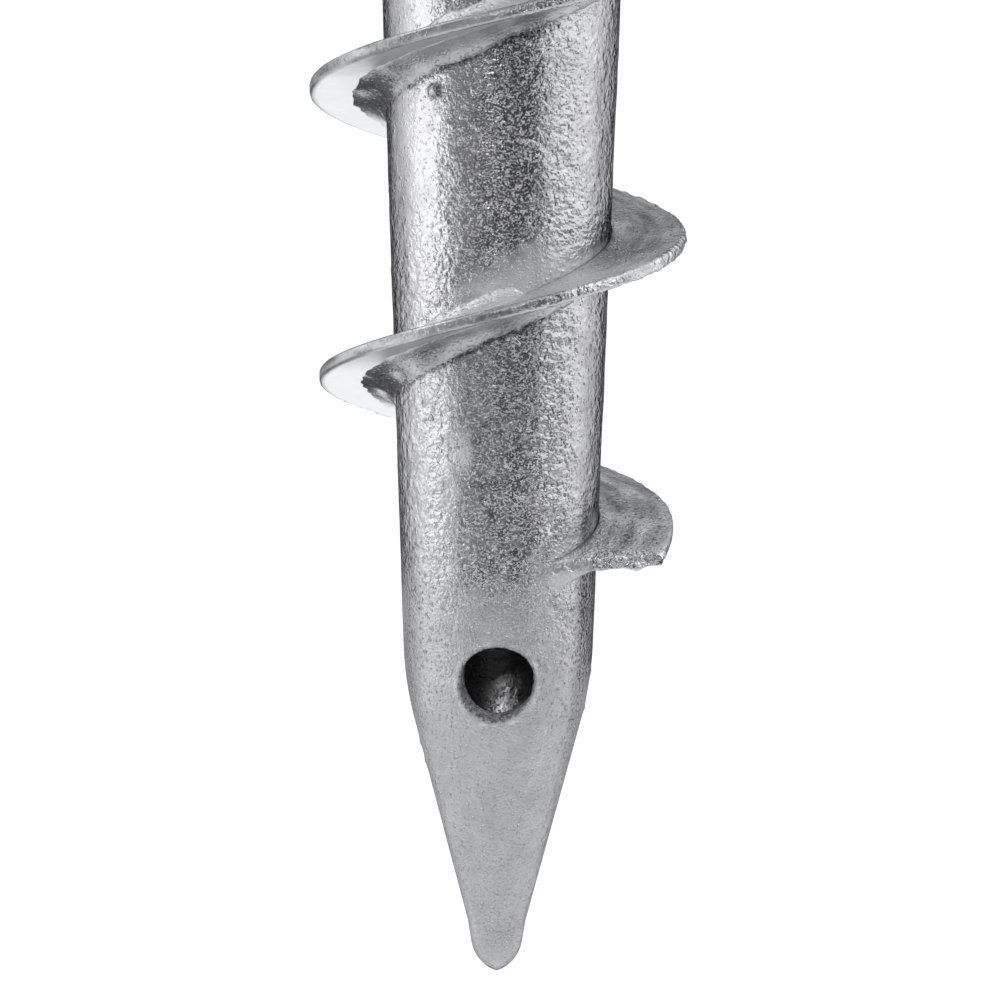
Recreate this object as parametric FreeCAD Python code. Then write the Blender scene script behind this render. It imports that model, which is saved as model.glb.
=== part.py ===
import FreeCAD, Part
import math
import os

# Ground screw post anchor: a hollow steel shaft with a swaged conical tip, one right-hand
# helical flight welded round it, and a folded U-shaped saddle for a square post at its head.
# It is modelled upright, tip at the origin and head up +Z, then laid on the ground: the axis
# along Y with the head towards +Y and the drain hole up, resting on the flight and the saddle.
# Every size is in millimetres or degrees. Heights are measured from the tip, and angles round
# the axis from the side with the drain hole (-Y while upright), turning towards +X.

# Shaft tube
tube_radius = 30.15
tube_wall = 3.0
shaft_length = 680.0
taper_top_height = 250.0
taper_angle = 2.1
taper_blend_radius = 350.0
shoulder_height = 74.0
shoulder_blend_radius = 90.0
tip_cone_angle = 15.0

# Closed tip, its wall thickened by the swaging
nose_side_height = 13.0
nose_edge_height = 7.6
nose_edge_radius = 6.45
nose_round_height = 3.1
nose_round_radius = 4.45
shoulder_wall = 3.9
cavity_floor_height = 22.0
cavity_floor_radius = 3.0

# Drain hole, bored through one wall at a slant
drain_radius = 9.1
drain_height = 75.5
drain_azimuth = -2.0
drain_lean_down = 20.0
drain_lean_side = -12.0

# Helical flight: a strip of plate on edge, its leading end sheared off straight
plate_thickness = 3.0
flight_width = 19.0
flight_pitch = 72.4
flight_front_height = 169.2
flight_start_angle = -329.3
flight_turns = 4.75
lead_sweep_angle = 38.0
lead_root_rise = 1.8
lead_rim_drop = 4.0
lead_length_angle = 100.0

# Fillet welds of the flight: one whole run under it, stitches on top of it
under_weld_leg = 4.6
top_weld_leg = 3.8
top_weld_first_angle = -250.0
top_weld_length_angle = 83.0
top_weld_spacing_angle = 180.0

# Post saddle: plate folded to a U that is open at its top and at two sides
saddle_thickness = 4.0
saddle_inner_width = 101.0
saddle_depth = 80.0
saddle_side_height = 116.0
saddle_bend_radius = 4.0
saddle_corner_radius = 8.0
bolt_hole_radius = 5.5
bolt_hole_heights = (38.0, 88.0)
vent_radius = 10.0
saddle_weld_leg = 5.0

# Clearance between the curved faces that sit on each other
seat_clearance = 0.02

# Spacing of the points that the helical edges are drawn through, and the small turn in
# radians that their end tangents are measured over
spline_step_angle = 12.0
tangent_step = 0.0001

# How closely an edge has to fit the height and length that it is picked by
match_tolerance = 0.001


def point(radius, angle, height):
    """A point at a radius, an angle from the drain side and a height."""
    turn = math.radians(angle)
    return FreeCAD.Vector(radius * math.sin(turn), -radius * math.cos(turn), height)


def line(start, end):
    """A straight edge."""
    return Part.LineSegment(start, end).toShape()


def open_path(points):
    """Straight edges from each point to the next."""
    return [line(start, end) for start, end in zip(points, points[1:])]


def blended_corner(before, corner, after, radius):
    """The start, the arc and the end of a rounded corner between two straight lines."""
    to_before = (before - corner).normalize()
    to_after = (after - corner).normalize()
    half_angle = to_before.getAngle(to_after) / 2
    reach = radius / math.tan(half_angle)
    inward = (to_before + to_after).normalize()
    start = corner + to_before * reach
    end = corner + to_after * reach
    middle = corner + inward * (radius / math.sin(half_angle) - radius)
    return start, Part.Arc(start, middle, end).toShape(), end


def taper_radius(height):
    """Outer radius of the long taper's straight side."""
    return tube_radius - (taper_top_height - height) * math.tan(math.radians(taper_angle))


def cone_radius(height):
    """Outer radius of the tip cone's straight side."""
    drop = shoulder_height - height
    return taper_radius(shoulder_height) - drop * math.tan(math.radians(tip_cone_angle))


def corner_blend_radius(height, corner_height, lower_angle, upper_angle, blend):
    """Outer radius on the arc that rounds one corner of the shaft's side, or None off the arc."""
    lower = math.radians(lower_angle)
    upper = math.radians(upper_angle)
    reach = blend * math.tan((lower - upper) / 2)
    arc_bottom = corner_height - reach * math.cos(lower)
    arc_top = corner_height + reach * math.cos(upper)
    if not arc_bottom < height < arc_top:
        return None
    centre_radius = taper_radius(corner_height) + reach * math.sin(upper) - blend * math.cos(upper)
    centre_height = arc_top + blend * math.sin(upper)
    return centre_radius + math.sqrt(blend ** 2 - (height - centre_height) ** 2)


def shaft_radius(height):
    """Outer radius of the shaft at a height above its nose."""
    on_shoulder = corner_blend_radius(
        height, shoulder_height, tip_cone_angle, taper_angle, shoulder_blend_radius)
    on_taper_top = corner_blend_radius(
        height, taper_top_height, taper_angle, 0.0, taper_blend_radius)
    straight = min(tube_radius, taper_radius(height), cone_radius(height))
    return on_shoulder or on_taper_top or straight


def section_point(radius, height):
    """A point of a section that is turned round the shaft's axis."""
    return FreeCAD.Vector(radius, 0, height)


def turned(edges):
    """A solid of revolution round the shaft's axis."""
    section = Part.Face(Part.Wire(edges))
    return section.revolve(FreeCAD.Vector(0, 0, 0), FreeCAD.Vector(0, 0, 1), 360)


def shaft_outer_side():
    """Edges of the shaft's outer side, from the apex of the tip to the top end."""
    nose_edge = section_point(nose_edge_radius, nose_edge_height)
    nose_side = section_point(cone_radius(nose_side_height), nose_side_height)
    shoulder = section_point(taper_radius(shoulder_height), shoulder_height)
    taper_top = section_point(tube_radius, taper_top_height)
    top = section_point(tube_radius, shaft_length)
    nose_round = Part.Arc(
        section_point(0, 0), section_point(nose_round_radius, nose_round_height), nose_edge)
    cone_end, shoulder_arc, taper_start = blended_corner(
        nose_side, shoulder, taper_top, shoulder_blend_radius)
    taper_end, taper_arc, straight_start = blended_corner(
        shoulder, taper_top, top, taper_blend_radius)
    edges = [nose_round.toShape()]
    edges += open_path([nose_edge, nose_side, cone_end])
    edges.append(shoulder_arc)
    edges.append(line(taper_start, taper_end))
    edges.append(taper_arc)
    edges.append(line(straight_start, top))
    return edges


def cavity_side():
    """Edges from the shaft's top end down its hollow, to the closed floor and out at the tip."""
    return open_path([
        section_point(tube_radius, shaft_length),
        section_point(tube_radius - tube_wall, shaft_length),
        section_point(tube_radius - tube_wall, taper_top_height),
        section_point(taper_radius(shoulder_height) - shoulder_wall, shoulder_height),
        section_point(cavity_floor_radius, cavity_floor_height),
        section_point(0, cavity_floor_height),
        section_point(0, 0),
    ])


def drain_bore():
    """The slanted cutter of the drain hole, from the shaft's axis out through one wall."""
    lean = FreeCAD.Rotation(FreeCAD.Vector(1, 0, 0), drain_lean_down)
    swing = FreeCAD.Rotation(FreeCAD.Vector(0, 0, 1), drain_azimuth + drain_lean_side)
    outward = swing.multVec(lean.multVec(FreeCAD.Vector(0, -1, 0)))
    wall_radius = shaft_radius(drain_height)
    mouth = point(wall_radius, drain_azimuth, drain_height)
    return Part.makeCylinder(drain_radius, 2 * wall_radius, mouth - outward * wall_radius, outward)


def shaft_tube():
    """The hollow shaft with its closed tip and its drain hole."""
    return turned(shaft_outer_side() + cavity_side()).cut(drain_bore())


def shaft_seat(angle, height):
    """A point just clear of the shaft's outer side."""
    return point(shaft_radius(height) + seat_clearance, angle, height)


def flight_end_angle():
    """Angle of the flight's tail, at the head end."""
    return flight_start_angle + 360 * flight_turns


def flight_height(angle):
    """Height of the flight's middle plane."""
    return flight_front_height + flight_pitch * angle / 360


def half_axial_thickness():
    """Half of the plate's thickness measured along the axis, at the middle of its width."""
    middle_radius = tube_radius + flight_width / 2
    slope = math.atan(flight_pitch / (2 * math.pi * middle_radius))
    return plate_thickness / math.cos(slope) / 2


def ruling(angle, offset):
    """Root and rim point of the flight's surface that lies offset above its middle plane.

    At the leading end the rim runs ahead of the root and droops, as the sheared strip does.
    """
    lead = max(0.0, 1 - (angle - flight_start_angle) / lead_length_angle) ** 2
    root_height = flight_height(angle) + lead * lead_root_rise + offset
    rim_angle = angle + lead * lead_sweep_angle
    rim_radius = shaft_radius(flight_height(rim_angle)) + flight_width
    rim_height = flight_height(rim_angle) - lead * lead_rim_drop + offset
    return shaft_seat(angle, root_height), point(rim_radius, rim_angle, rim_height)


def ruled_face(first, second):
    """The face that straight lines make between two splines with the same knots."""
    surface = Part.BSplineSurface()
    surface.buildFromPolesMultsKnots(
        [first.getPoles(), second.getPoles()], [2, 2], first.getMultiplicities(),
        [0, 1], first.getKnots(), False, False, 1, first.Degree)
    return surface.toShape()


def tangent(section, corner, angle):
    """How far a section corner moves for each radian of turn."""
    step = math.degrees(tangent_step)
    ahead = section(angle + step)[corner]
    behind = section(angle - step)[corner]
    return (ahead - behind) / (2 * tangent_step)


def swept_solid(section, first, last):
    """A solid between two angles, from a function that gives the corners of its section.

    Each corner follows one smooth curve, and each end is closed by flat triangles.
    """
    count = math.ceil((last - first) / spline_step_angle)
    angles = [first + (last - first) * index / count for index in range(count + 1)]
    splines = []
    for corner in range(len(section(first))):
        spline = Part.BSplineCurve()
        spline.interpolate(
            Points=[section(angle)[corner] for angle in angles],
            Parameters=[math.radians(angle) for angle in angles],
            InitialTangent=tangent(section, corner, first),
            FinalTangent=tangent(section, corner, last),
            Scale=False)
        splines.append(spline)
    faces = [ruled_face(*pair) for pair in zip(splines, splines[1:] + splines[:1])]
    for angle in (first, last):
        corners = section(angle)
        for second, third in zip(corners[1:], corners[2:]):
            triangle = Part.makePolygon([corners[0], second, third, corners[0]])
            faces.append(Part.Face(triangle))
    shell = Part.Shell(faces)
    shell.sewShape()
    solid = Part.Solid(shell)
    if solid.Volume < 0:
        solid.reverse()
    return solid


def flight_section(angle):
    """Corners of the plate's section: lower root, lower rim, upper rim and upper root."""
    lower_root, lower_rim = ruling(angle, -half_axial_thickness())
    upper_root, upper_rim = ruling(angle, half_axial_thickness())
    return [lower_root, lower_rim, upper_rim, upper_root]


def helical_flight():
    """The strip of plate wound round the shaft, seated on it along its whole root."""
    return swept_solid(flight_section, flight_start_angle, flight_end_angle())


def weld_section(angle, side, leg):
    """Corners of a fillet weld's section: the root, the toe on the plate and on the shaft.

    The weld is above the plate on side 1 and under it on side -1.
    """
    root, rim = ruling(angle, side * (half_axial_thickness() + seat_clearance))
    plate_toe = root + (rim - root).normalize() * leg
    return [root, plate_toe, shaft_seat(angle, root.z + side * leg)]


def flight_weld_under():
    """The weld that follows the whole underside of the flight."""
    def section(angle):
        return weld_section(angle, -1, under_weld_leg)
    return swept_solid(section, flight_start_angle, flight_end_angle())


def flight_weld_top():
    """The weld stitches on top of the flight, spaced evenly up to its tail."""
    def section(angle):
        return weld_section(angle, 1, top_weld_leg)
    stitches = []
    first = top_weld_first_angle
    while first + top_weld_length_angle <= flight_end_angle():
        stitches.append(swept_solid(section, first, first + top_weld_length_angle))
        first += top_weld_spacing_angle
    return Part.makeCompound(stitches)


def bent_plate_edges(corners, bend):
    """Edges of a U-shaped line through four corner points, its two bends rounded."""
    first_start, first_arc, first_end = blended_corner(corners[0], corners[1], corners[2], bend)
    last_start, last_arc, last_end = blended_corner(corners[1], corners[2], corners[3], bend)
    return [
        line(corners[0], first_start),
        first_arc,
        line(first_end, last_start),
        last_arc,
        line(last_end, corners[3]),
    ]


def saddle_side_line(half_width, base_height):
    """Four corners of the saddle's section on one face of its plate."""
    top = shaft_length + saddle_thickness + saddle_side_height
    start_x = -saddle_depth / 2
    return [
        FreeCAD.Vector(start_x, -half_width, top),
        FreeCAD.Vector(start_x, -half_width, base_height),
        FreeCAD.Vector(start_x, half_width, base_height),
        FreeCAD.Vector(start_x, half_width, top),
    ]


def saddle_half_width():
    """Half of the saddle's outer width."""
    return saddle_inner_width / 2 + saddle_thickness


def folded_plate():
    """The saddle's plate after folding, without its holes."""
    outer = saddle_side_line(saddle_half_width(), shaft_length)
    inner = saddle_side_line(saddle_inner_width / 2, shaft_length + saddle_thickness)
    edges = bent_plate_edges(outer, saddle_bend_radius + saddle_thickness)
    edges.append(line(outer[3], inner[3]))
    edges += bent_plate_edges(inner, saddle_bend_radius)[::-1]
    edges.append(line(inner[0], outer[0]))
    section = Part.Face(Part.Wire(Part.__sortEdges__(edges)))
    plate = section.extrude(FreeCAD.Vector(saddle_depth, 0, 0))
    top = outer[0].z
    ends = [edge for edge in plate.Edges
            if all(abs(vertex.Z - top) < match_tolerance for vertex in edge.Vertexes)
            and abs(edge.Length - saddle_thickness) < match_tolerance]
    return plate.makeFillet(saddle_corner_radius, ends)


def post_saddle():
    """The folded saddle with its bolt holes and the vent hole over the shaft."""
    base_top = shaft_length + saddle_thickness
    start_y = -saddle_half_width()
    cutters = [Part.makeCylinder(
        vent_radius, saddle_thickness, FreeCAD.Vector(0, 0, shaft_length), FreeCAD.Vector(0, 0, 1))]
    for height in bolt_hole_heights:
        cutters.append(Part.makeCylinder(
            bolt_hole_radius, -2 * start_y, FreeCAD.Vector(0, start_y, base_top + height),
            FreeCAD.Vector(0, 1, 0)))
    return folded_plate().cut(cutters)


def saddle_weld():
    """The ring of fillet weld between the shaft's top end and the saddle's base."""
    seat = section_point(tube_radius, shaft_length)
    low = section_point(tube_radius, shaft_length - saddle_weld_leg)
    wide = section_point(tube_radius + saddle_weld_leg, shaft_length)
    return turned(open_path([seat, low, wide, seat]))


def resting_tilt():
    """Angle that the axis rises towards the head when the anchor lies on flight and saddle."""
    saddle_foot_height = shaft_length + saddle_thickness + saddle_bend_radius
    slopes = []
    for angle in range(math.ceil(flight_start_angle), math.floor(flight_end_angle())):
        for offset in (-half_axial_thickness(), half_axial_thickness()):
            rim = ruling(angle, offset)[1]
            slopes.append((saddle_half_width() - rim.y) / (saddle_foot_height - rim.z))
    return math.degrees(math.atan(min(slopes)))


def lay_down(pieces):
    """Lays the upright pieces on the ground, centred over the origin."""
    to_side = resting_tilt() - 90
    for piece in pieces.values():
        piece.rotate(FreeCAD.Vector(0, 0, 0), FreeCAD.Vector(1, 0, 0), to_side)
    box = Part.makeCompound(list(pieces.values())).optimalBoundingBox(False)
    ground = FreeCAD.Vector(-box.Center.x, -box.Center.y, -box.ZMin)
    for piece in pieces.values():
        piece.translate(ground)


def main():
    pieces = {
        "shaft_tube": shaft_tube(),
        "helical_flight": helical_flight(),
        "flight_weld_under": flight_weld_under(),
        "flight_weld_top": flight_weld_top(),
        "post_saddle": post_saddle(),
        "saddle_weld": saddle_weld(),
    }
    lay_down(pieces)
    os.makedirs("parts", exist_ok=True)
    for name, piece in pieces.items():
        piece.exportStep(os.path.join("parts", name + ".step"))


main()
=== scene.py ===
import math

import bpy
import numpy as np
from mathutils import Matrix, Vector, noise


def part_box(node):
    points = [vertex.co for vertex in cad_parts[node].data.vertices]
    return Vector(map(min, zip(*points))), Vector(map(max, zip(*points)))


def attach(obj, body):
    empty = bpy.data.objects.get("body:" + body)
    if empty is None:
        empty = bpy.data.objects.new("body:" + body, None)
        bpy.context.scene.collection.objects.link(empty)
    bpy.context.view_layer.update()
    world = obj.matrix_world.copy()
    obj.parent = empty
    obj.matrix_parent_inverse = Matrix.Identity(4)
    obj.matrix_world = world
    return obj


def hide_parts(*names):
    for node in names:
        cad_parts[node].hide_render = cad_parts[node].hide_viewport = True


# Ground screw post anchor, hot-dip galvanised: the looks round its solids.
# The bumpy zinc skins are made upright first, in millimetres and degrees as their solids are:
# tip at the origin, head up +Z, drain hole towards -Y, angles from the drain side towards +X.
# They are then laid down onto the frame, in metres.

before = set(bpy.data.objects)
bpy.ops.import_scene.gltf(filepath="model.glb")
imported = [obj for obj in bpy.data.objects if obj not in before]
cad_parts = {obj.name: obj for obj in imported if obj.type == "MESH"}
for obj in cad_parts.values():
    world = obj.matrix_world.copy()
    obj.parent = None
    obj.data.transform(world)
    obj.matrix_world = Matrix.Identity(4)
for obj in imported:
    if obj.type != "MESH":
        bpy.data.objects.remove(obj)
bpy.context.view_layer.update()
scene = bpy.context.scene

# Shaft
tube_radius = 30.15
tube_wall = 3.0
shaft_length = 680.0
taper_top_height = 250.0
taper_angle = 2.1
taper_blend_radius = 350.0
shoulder_height = 74.0
shoulder_blend_radius = 90.0
tip_cone_angle = 15.0
nose_side_height = 13.0
nose_edge_height = 7.6
nose_edge_radius = 6.45
nose_round_height = 3.1
nose_round_radius = 4.45
shoulder_wall = 3.9
cavity_floor_height = 22.0
cavity_floor_radius = 3.0
cavity_softening = 20.0

# Drain hole
drain_radius = 9.1
drain_height = 75.5
drain_azimuth = -2.0
drain_lean_down = 20.0
drain_lean_side = -12.0
drain_edge_round = 0.7

# Helical flight
plate_thickness = 3.0
flight_width = 19.0
flight_pitch = 72.4
flight_front_height = 169.2
flight_start_angle = -329.3
flight_turns = 4.75
lead_sweep_angle = 38.0
lead_root_rise = 1.8
lead_rim_drop = 4.0
lead_length_angle = 100.0
rim_round = 0.8
root_round = 0.55
end_round = 1.1

# Welds
under_weld_leg = 4.6
top_weld_leg = 3.8
top_weld_first_angle = -250.0
top_weld_skin_inset_angle = 6.0
top_weld_length_angle = 83.0
top_weld_spacing_angle = 180.0
saddle_weld_leg = 5.0
weld_hollow = 0.36
weld_skin_growth = 1.12
under_weld_skin_plate_leg = 8.0
top_weld_skin_plate_leg = 6.0
weld_step_angle = 0.9
saddle_weld_ripples = 46
saddle_weld_columns = 240
# Uneven legs of the welds along the flight: length of the waves in degrees, and share of the leg
weld_waves = [(14.0, 0.16), (4.5, 0.12)]

# Zinc and weld that fair the flight's leading end into the shaft
fairing_angle = 13.0
fairing_reach = 11.0
fairing_toe_angle = 8.0
fairing_top_inset = 0.25
fairing_bottom_inset = 0.2
fairing_edge = 0.2
fairing_overlap = 0.03
fairing_front_growth = 0.15

# Marks in the zinc that have their own place
# Splashes on the shaft: angle, height, half angle and half height
splashes = [(-22.0, 134.0, 7.5, 5.5), (-27.0, 124.0, 4.5, 2.0)]
# Beads on the shaft: angle, height, radius and rise; the first has a dark ring
ringed_bead = (-34.8, 223.3, 1.35, 0.7)
beads = [ringed_bead, (43.0, 95.0, 0.9, 0.3), (43.0, 79.0, 0.9, 0.3)]
# Dark pits in the shaft: angle, height and radius
pits = [(-44.7, 141.7, 0.8), (-39.5, 141.8, 0.7), (-46.0, 145.9, 0.9), (24.5, 81.6, 0.7)]
# Stretches of the flight with a lumpy rim: angle along the flight and half length
crust_stretches = [(85.0, 28.0)]
# Drips under the flight: angle along the flight, distance from the root, radius and drop
drips = [(-329.0, 14.7, 1.5, 1.1), (-86.0, 4.0, 1.2, 1.0)]

# Relief of the zinc: layers of lumps, each a height, a size, a seed and a stretch along the shaft
shaft_lumps = [(0.08, 2.4, 1, 2.2), (0.1, 5.5, 2, 1.8)]
flight_lumps = [(0.05, 5.5, 11, 1.0), (0.03, 2.0, 16, 1.0)]
weld_lumps = [(0.06, 1.9, 21, 1.0), (0.09, 4.0, 22, 1.0)]
# Beads scattered on the shaft: their number, lowest and highest place, and seed
bead_fields = [(90, 5.0, 110.0, 4), (160, 110.0, 660.0, 5)]

# Zones of the zinc round the shaft: middle angle, half angle and the angle over which they fade
gritty_span = (-1.0, 27.0, 7.0)
hammered_span = (54.0, 31.0, 10.0)
bright_span = (-61.0, 33.0, 5.0)
cloud_span = (4.0, 31.0, 20.0)
pool_span = (50.0, 36.0, 14.0)
crevice_shadow_span = (-20.0, 60.0, 30.0)
lit_flight_span = (14.0, 52.0, 30.0)
front_flight_span = (0.0, 70.0, 30.0)
clean_rim_span = (-55.0, 75.0, 25.0)
front_weld_span = (0.0, 75.0, 30.0)
stained_weld_span = (-84.0, 34.0, 22.0)

# How far zones of the shaft's zinc reach along it or from what they lie beside
matt_top_height = 106.0
matt_top_drop = 24.0
cloud_top = 9.5
pool_top = 2.0
lead_pool_rise = 4.0
calm_top = 14.0
crevice_shadow_reach = 1.6
lip_distance = 1.2
lip_half_width = 0.7

# How strong masks of the shaft's zinc are
matt_share = 0.62
matt_stain = 0.16
cone_stain = 0.07
wall_stain = 0.75
shade_stain = 0.16

# How far hidden edges of the skins are sunk into the pieces that they sit on
sunk = 0.4

# Zinc's colours and gloss
# The dark colour serves stains and painted shade, the pale one paler zinc and painted light.
stain_and_shade_colour = (0.12, 0.12, 0.125)
pale_zinc_and_painted_light = (0.9, 0.905, 0.92)
pale_share = 0.7
fleck_roughness = 0.18
haze_roughness = 0.06
patina_metallic = 0.2

# Fine grain of the zinc: sizes and depths, and the part of a noise's range that stands out
mottle_size = 7.0
stain_grain_size = 0.7
gloss_patch_size = 3.0
speck_size = 0.55
speck_depth = 0.55
speck_range = (0.595, 0.87)
fleck_size = 1.1
fleck_depth = 0.8
fleck_range = (0.595, 0.8)
streak_size = 1.2
streak_stretch = 0.07
streak_mm_per_degree = 0.62

# How the anchor lies
resting_tilt = 0.7444

# Mesh fineness: fine cells where the photo looks, coarser ones further up the shaft
skin_columns = 192
skin_cell = 0.86
upper_skin_cell = 2.9
fine_skin_top = 255.0
inner_skin_cell_low = 5.0
inner_skin_cell = 15.0
inner_column_step = 5
drain_patch_cells = 32
drain_patch_half = 13.0
flight_step_angle = 1.0

# Camera, measured from the photo: it looks at a point of the shaft's axis from the drain side
camera_distance = 1.244
camera_elevation = 4.08
camera_aim_height = 124.0
camera_roll = 0.3
frame_width = 0.2534
image_width = 1000
aim_pixel = (499.0, 485.7)

# Studio, in metres: floor, room and soft lamps
floor_half_size = 12.0
floor_colour = (0.45, 0.45, 0.45, 1)
floor_glow = 0.84
room_tint = (0.99, 0.995, 1, 1)
room_glow = 0.04
tipward_glow = 0.78
headward_glow = 0.65
tipward_fade = (-0.24, -0.37)
headward_fade = (0.25, 0.5)
# Each lamp is a name, place, target, width, height and radiance
softboxes = [
    ("left_softbox", (-0.9, 0.33, 0.235), (0, 0.33, 0.1), 1.56, 0.47, 1.6),
    ("left_fill_softbox", (-0.85, 0.33, 0.98), (0, 0.33, 0.1), 1.56, 1.0, 0.2),
    ("left_tip_softbox", (-0.85, -0.42, 0.55), (0, -0.28, 0.05), 0.35, 0.45, 0.65),
    ("right_softbox", (0.9, 0.385, 0.44), (0, 0.385, 0.1), 1.43, 0.88, 1.2),
    ("front_softbox", (-0.2, 0.164, 1.477), (0, -0.3, 0), 0.5, 0.32, 3.0)]


def laid_down():
    """The matrix that lays the upright millimetre shape down on the frame's shaft."""
    tilt = math.radians(resting_tilt)
    low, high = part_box("shaft_tube")
    along = Vector((0, math.cos(tilt), math.sin(tilt)))
    front = Vector((0, -math.sin(tilt), math.cos(tilt)))
    top_end = (shaft_length * along.z + tube_radius * front.z) / 1000
    tip = Vector((0, low.y, high.z - top_end))
    turn = Matrix((Vector((1, 0, 0)), -front, along)).transposed().to_4x4()
    return Matrix.Translation(tip) @ turn @ Matrix.Scale(0.001, 4)


lay = laid_down()


# Shape of the shaft

def polar_points(radius, angle, height):
    """Points from radii, angles in degrees and heights."""
    turn = np.radians(angle)
    radius, turn, height = np.broadcast_arrays(radius, turn, height)
    return np.stack([radius * np.sin(turn), -radius * np.cos(turn), height], axis=-1)


def azimuth_of(points):
    """Angles of points round the shaft, from the drain side towards +X."""
    return np.degrees(np.arctan2(points[:, 0], -points[:, 1]))


def taper_radius(height):
    """Outer radius of the long taper's straight side."""
    return tube_radius - (taper_top_height - height) * math.tan(math.radians(taper_angle))


def corner_arc_radius(height, corner_height, lower_angle, upper_angle, blend):
    """Outer radius on the arc that rounds one corner of the side, very large off the arc."""
    lower = math.radians(lower_angle)
    upper = math.radians(upper_angle)
    reach = blend * math.tan((lower - upper) / 2)
    arc_bottom = corner_height - reach * math.cos(lower)
    arc_top = corner_height + reach * math.cos(upper)
    centre_radius = taper_radius(corner_height) + reach * math.sin(upper) - blend * math.cos(upper)
    centre_height = arc_top + blend * math.sin(upper)
    drop = np.clip(blend ** 2 - (height - centre_height) ** 2, 0, None)
    on_arc = (height > arc_bottom) & (height < arc_top)
    return np.where(on_arc, centre_radius + np.sqrt(drop), np.inf)


def shaft_radius(height):
    """Outer radius of the shaft at heights above the nose's side."""
    height = np.asarray(height, float)
    cone = taper_radius(shoulder_height) - (shoulder_height - height) * math.tan(
        math.radians(tip_cone_angle))
    on_shoulder = corner_arc_radius(
        height, shoulder_height, tip_cone_angle, taper_angle, shoulder_blend_radius)
    on_taper_top = corner_arc_radius(
        height, taper_top_height, taper_angle, 0.0, taper_blend_radius)
    straight = np.minimum(np.minimum(tube_radius, taper_radius(height)), cone)
    return np.minimum(np.minimum(on_shoulder, on_taper_top), straight)


def on_shaft(angle, height):
    """The point of the shaft's side at an angle and a height."""
    return polar_points(float(shaft_radius(height)), angle, height)


def cavity_radius(height):
    """Inner radius of the shaft, its shoulder softened."""
    heights = [cavity_floor_height, shoulder_height, taper_top_height, shaft_length]
    straight = tube_radius - tube_wall
    radii = [cavity_floor_radius, taper_radius(shoulder_height) - shoulder_wall, straight, straight]
    nearby = np.linspace(-cavity_softening, cavity_softening, 9)
    return np.mean([np.interp(height + step, heights, radii) for step in nearby], axis=0)


def spaced(first, last, step):
    """Even values from first to just before last, about a step apart."""
    count = max(1, round((last - first) / step))
    return first + (last - first) * np.arange(count) / count


def nose_profile():
    """Radii and heights up the round nose, from beside its apex to the cone."""
    ax, ay = nose_round_radius, nose_round_height
    bx, by = nose_edge_radius, nose_edge_height
    twice_area = 2 * (ax * by - bx * ay)
    centre_radius = (by * (ax ** 2 + ay ** 2) - ay * (bx ** 2 + by ** 2)) / twice_area
    centre_height = (ax * (bx ** 2 + by ** 2) - bx * (ax ** 2 + ay ** 2)) / twice_area
    bend = math.hypot(centre_radius, centre_height)
    first = math.atan2(-centre_height, -centre_radius)
    last = math.atan2(by - centre_height, bx - centre_radius)
    turn = np.linspace(first, last, 12)[1:]
    side = spaced(nose_edge_height, nose_side_height, skin_cell)[1:]
    side_end = float(shaft_radius(nose_side_height))
    side_radius = np.interp(
        side, [nose_edge_height, nose_side_height], [nose_edge_radius, side_end])
    radii = np.concatenate([centre_radius + bend * np.cos(turn), side_radius])
    heights = np.concatenate([centre_height + bend * np.sin(turn), side])
    return radii, heights


def drain_frame():
    """The drain hole's mouth centre and its sideways, upward and outward directions."""
    down = math.radians(drain_lean_down)
    swing = math.radians(drain_azimuth + drain_lean_side)
    out = np.array([
        math.cos(down) * math.sin(swing), -math.cos(down) * math.cos(swing), -math.sin(down)])
    aside = np.cross([0, 0, 1], out)
    aside /= np.linalg.norm(aside)
    mouth = on_shaft(drain_azimuth, drain_height)
    return mouth, aside, np.cross(out, aside), out


def drain_ring(turn, radius, depth, side_radius):
    """Points round the drain hole, a depth below the shaft's outer or inner side."""
    mouth, aside, up, out = drain_frame()
    points = mouth + radius * (np.outer(np.cos(turn), aside) + np.outer(np.sin(turn), up))
    for _ in range(12):
        away = np.hypot(points[:, 0], points[:, 1])
        climb = (points[:, :2] @ out[:2]) / away
        points += np.outer((side_radius(points[:, 2]) - away) / climb, out)
    return points - depth * out


def patch_loop(first_row, first_column, cells):
    """Row and column numbers round a square patch of a grid, anticlockwise from outside."""
    side = np.arange(cells)
    zero, full = np.zeros(cells, int), np.full(cells, cells)
    rows = np.concatenate([zero, side, full, cells - side])
    columns = np.concatenate([side, full, cells - side, zero])
    return first_row + rows, first_column + columns


def patch_rings(loop, rim, side_radius, count):
    """Rings on the shaft's side that lead from a square loop to the drain hole's rim."""
    rings = []
    for share in np.arange(1, count) / count:
        flat = []
        for points in (loop, rim):
            flat.append(np.stack([azimuth_of(points), points[:, 2]], axis=1))
        angle, height = ((1 - share) * flat[0] + share * flat[1]).T
        rings.append(polar_points(side_radius(height), angle, height))
    return rings


def grid_quads(rows, columns, hole=None):
    """Vertex numbers of a grid's cells that closes round its columns, less a square hole."""
    row, column = np.meshgrid(np.arange(rows - 1), np.arange(columns), indexing="ij")
    right = (column + 1) % columns
    quads = np.stack([
        row * columns + column, row * columns + right,
        (row + 1) * columns + right, (row + 1) * columns + column], axis=-1).reshape(-1, 4)
    if hole is None:
        return quads
    first_row, first_column, cells = hole
    inside = (row >= first_row) & (row < first_row + cells)
    inside &= (column >= first_column) & (column < first_column + cells)
    return quads[~inside.ravel()]


def ring_quads(loops):
    """Cells between neighbouring closed loops of vertex numbers."""
    cells = []
    for outer, inner in zip(loops, loops[1:]):
        cells.append(np.stack(
            [outer, np.roll(outer, -1), np.roll(inner, -1), inner], axis=1))
    return np.concatenate(cells)


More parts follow.
